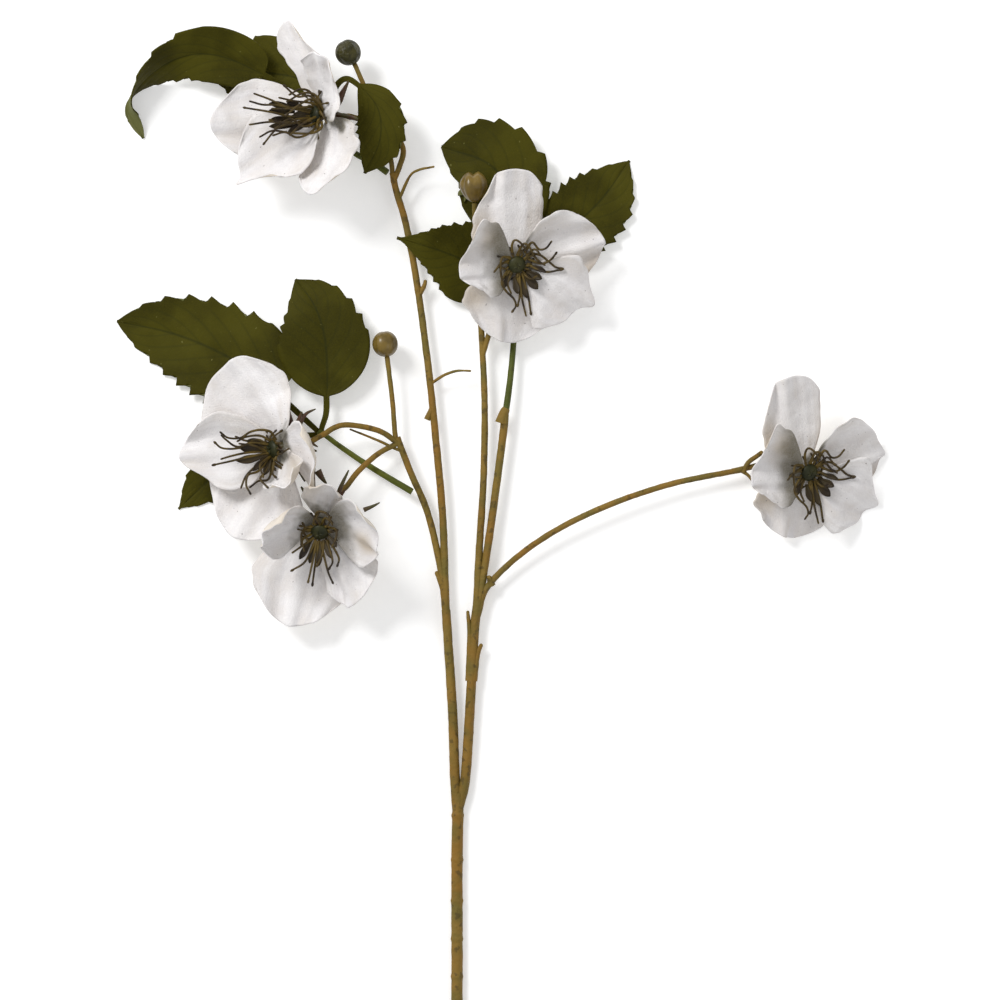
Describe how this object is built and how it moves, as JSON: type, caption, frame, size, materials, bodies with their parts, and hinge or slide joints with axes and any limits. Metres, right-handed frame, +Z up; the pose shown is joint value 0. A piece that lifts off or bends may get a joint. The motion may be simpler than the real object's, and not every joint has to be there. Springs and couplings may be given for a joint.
{
  "type": "hellebore flower spray",
  "caption": "Branching cut spray of hellebore with open white blooms, round buds and toothed dark leaves on a long knotted stem, lying flat.",
  "frame": {"origin": "middle of the footprint on the surface that the spray lies on", "axes": "+Y from the cut end of the stem towards the upper blooms, +X to the side of the right-hand bloom, +Z up from the surface"},
  "size_m": [0.3468, 0.4907, 0.053],
  "materials": {
    "stem": "olive brown, satin, with darker rings",
    "leaf_stalk": "green, satin",
    "leaf": "dark olive green, slight sheen",
    "petal": "white, matt, fine grain",
    "stamen": "dark brown, satin",
    "cup": "brown green, matt",
    "bud": "brown olive, glossy"
  },
  "bodies": {
    "root": {"stem": "stem", "leaf_stalk_top": "leaf_stalk", "leaf_stalk_left": "leaf_stalk", "leaf_stalk_middle": "leaf_stalk", "leaf_top_outer": "leaf", "leaf_top_back": "leaf", "leaf_top_inner": "leaf", "leaf_left_wide": "leaf", "leaf_left_round": "leaf", "leaf_left_low": "leaf", "leaf_middle_up": "leaf", "leaf_middle_right": "leaf", "leaf_middle_left": "leaf", "bud_top": "bud", "bud_left": "bud", "bud_middle": "bud", "cup_top": "cup", "petal_top_1": "petal", "petal_top_2": "petal", "petal_top_3": "petal", "petal_top_4": "petal", "petal_top_5": "petal", "stamens_top": "stamen", "cup_left": "cup", "petal_left_1": "petal", "petal_left_2": "petal", "petal_left_3": "petal", "petal_left_4": "petal", "petal_left_5": "petal", "stamens_left": "stamen", "cup_low": "cup", "petal_low_1": "petal", "petal_low_2": "petal", "petal_low_3": "petal", "petal_low_4": "petal", "petal_low_5": "petal", "stamens_low": "stamen", "cup_middle": "cup", "petal_middle_1": "petal", "petal_middle_2": "petal", "petal_middle_3": "petal", "petal_middle_4": "petal", "petal_middle_5": "petal", "stamens_middle": "stamen", "cup_right": "cup", "petal_right_1": "petal", "petal_right_2": "petal", "petal_right_3": "petal", "petal_right_4": "petal", "petal_right_5": "petal", "stamens_right": "stamen"}
  },
  "joints": []
}
